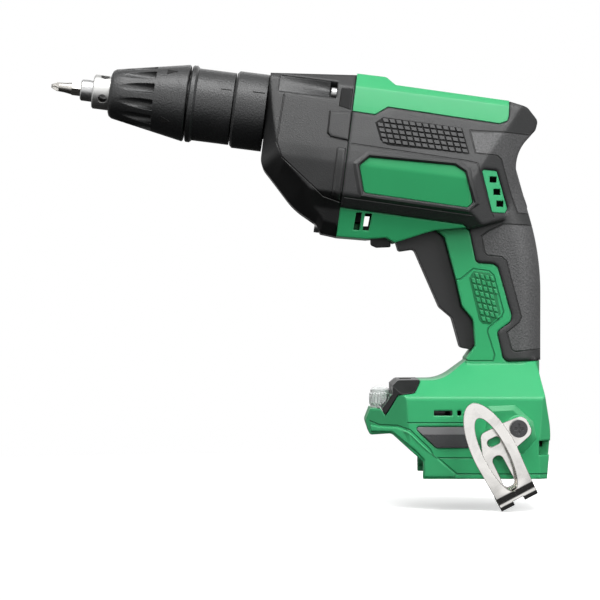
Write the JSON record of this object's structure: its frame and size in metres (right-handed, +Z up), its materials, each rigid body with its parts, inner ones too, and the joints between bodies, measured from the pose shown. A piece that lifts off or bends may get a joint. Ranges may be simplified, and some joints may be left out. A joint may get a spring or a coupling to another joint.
{
  "type": "cordless drywall screwdriver",
  "caption": "Cordless drywall screwdriver body with a long depth-setting nose cone, trigger handle, battery foot and belt hook; drives screws to a set depth.",
  "frame": {"origin": "middle of the battery seat plane under the foot, on the tool's middle plane", "axes": "+X to the rear, the nose points to -X and up by 7.3 degrees; +Z up; +Y to the side away from the belt hook"},
  "size_m": [0.2467, 0.0871, 0.22],
  "materials": {
    "shell_green": "satin moulded",
    "soft_grip": "fine grained soft overmould",
    "cover_black": "fine grained",
    "nose_black": "fine grained",
    "seal_rubber": "matte",
    "blasted_aluminium": "sand blasted",
    "cast_aluminium": "as cast",
    "bright_steel": "satin",
    "dark_steel": "hardened and oiled",
    "lamination": "stacked sheet",
    "bronze": "sintered",
    "copper": "enamelled wire",
    "contact_brass": "satin",
    "inner_plastic": "plain moulded",
    "board": "coated board",
    "potting": "potted",
    "panel_black": "semi gloss",
    "lens_clear": "clear moulded",
    "bumper_grey": "matte",
    "hook_nickel": "nickel plated",
    "black_screw": "black oxide",
    "lead_jacket": "smooth jacket"
  },
  "bodies": {
    "housing": {"housing_left": "shell_green", "housing_right": "shell_green", "grip_cover_left": "soft_grip", "grip_cover_right": "soft_grip", "side_plate_left": "shell_green", "side_plate_right": "shell_green", "vent_insert_left": "shell_green", "vent_insert_right": "shell_green", "top_cover": "shell_green", "gear_cover": "cover_black", "gear_cover_screws": "bright_steel", "neck_collar": "cover_black", "nose_o_ring": "seal_rubber", "spindle_bush": "bronze", "inner_plate": "cast_aluminium", "gear_bearing": "bright_steel", "motor_front_bearing": "bright_steel", "motor_rear_bearing": "bright_steel", "stator_core": "lamination", "stator_coils": "copper", "sensor_board": "board", "trigger_pin": "bright_steel", "switch_body": "inner_plastic", "trigger_spring": "bright_steel", "lever_pin": "bright_steel", "terminal_block": "inner_plastic", "terminal_blades": "contact_brass", "controller_module": "potting", "control_panel": "panel_black", "led_lens": "lens_clear", "led_board": "board", "foot_bumper_left": "bumper_grey", "foot_bumper_right": "bumper_grey", "hook_inserts": "contact_brass", "belt_hook": "hook_nickel", "hook_screw": "black_screw", "housing_screws": "black_screw", "motor_leads": "lead_jacket", "battery_leads": "lead_jacket", "clutch_spring": "bright_steel"},
    "nose": {"nose_barrel": "nose_black", "stop_ring": "nose_black"},
    "depth": {"depth_adjuster": "nose_black"},
    "locator": {"locator_sleeve": "blasted_aluminium"},
    "push": {"thrust_washer": "bright_steel"},
    "spindle": {"spindle": "dark_steel", "bit_holder": "bright_steel", "bit_magnet": "dark_steel", "driver_bit": "bright_steel"},
    "gear": {"drive_gear": "dark_steel"},
    "rotor": {"motor_shaft": "dark_steel", "rotor_core": "lamination", "cooling_fan": "inner_plastic"},
    "trigger": {"trigger": "cover_black"},
    "plunger": {"switch_plunger": "inner_plastic"},
    "lever": {"reverse_lever": "cover_black"},
    "button": {"mode_button": "seal_rubber"}
  },
  "joints": [
    {"name": "nose_pull", "type": "slide", "parent": "housing", "child": "nose", "axis": [-0.9919, 0, 0.1271], "range_m": [0, 0.075]},
    {"name": "depth_turn", "type": "hinge", "parent": "nose", "child": "depth", "pos_m": [-0.1089, 0, 0.1805], "axis": [0.9919, 0, -0.1271], "range_deg": [-180, 180]},
    {"name": "locator_travel", "type": "slide", "parent": "nose", "child": "locator", "axis": [-0.9919, 0, 0.1271], "range_m": [-0.00151, 0.00151]},
    {"name": "spindle_push", "type": "slide", "parent": "housing", "child": "push", "axis": [0.9919, 0, -0.1271], "range_m": [0, 0.0036], "stiffness_N_per_m": 3000, "springref_m": -0.001, "deforming": ["clutch_spring"]},
    {"name": "spindle_spin", "type": "hinge", "parent": "push", "child": "spindle", "pos_m": [-0.1089, 0, 0.1805], "axis": [0.9919, 0, -0.1271], "continuous": true},
    {"name": "gear_spin", "type": "hinge", "parent": "housing", "child": "gear", "pos_m": [-0.1089, 0, 0.1805], "axis": [0.9919, 0, -0.1271], "continuous": true},
    {"name": "motor_spin", "type": "hinge", "parent": "housing", "child": "rotor", "pos_m": [-0.11138, 0, 0.16116], "axis": [0.9919, 0, -0.1271], "continuous": true},
    {"name": "trigger_pull", "type": "hinge", "parent": "housing", "child": "trigger", "pos_m": [-0.0026, 0, 0.069], "axis": [0, 1, 0], "range_deg": [0, 6], "stiffness_Nm_per_rad": 1.5, "springref_deg": -4.58, "deforming": ["trigger_spring"]},
    {"name": "plunger_travel", "type": "slide", "parent": "housing", "child": "plunger", "axis": [1, 0, 0], "range_m": [0, 0.0037]},
    {"name": "lever_swing", "type": "hinge", "parent": "housing", "child": "lever", "pos_m": [-0.062, 0, 0.1228], "axis": [0, 0, 1], "range_deg": [-10, 10]},
    {"name": "button_press", "type": "slide", "parent": "housing", "child": "button", "axis": [0, 0, -1], "range_m": [0, 0.0008], "stiffness_N_per_m": 600, "springref_m": -0.0005}
  ],
  "couplings": [
    {"joint": "gear_spin", "follows": "motor_spin", "ratio": -0.3},
    {"joint": "spindle_spin", "follows": "motor_spin", "ratio": -0.3},
    {"joint": "locator_travel", "follows": "depth_turn", "m_per_rad": 0.00047746},
    {"joint": "plunger_travel", "follows": "trigger_pull", "m_per_rad": 0.035}
  ]
}
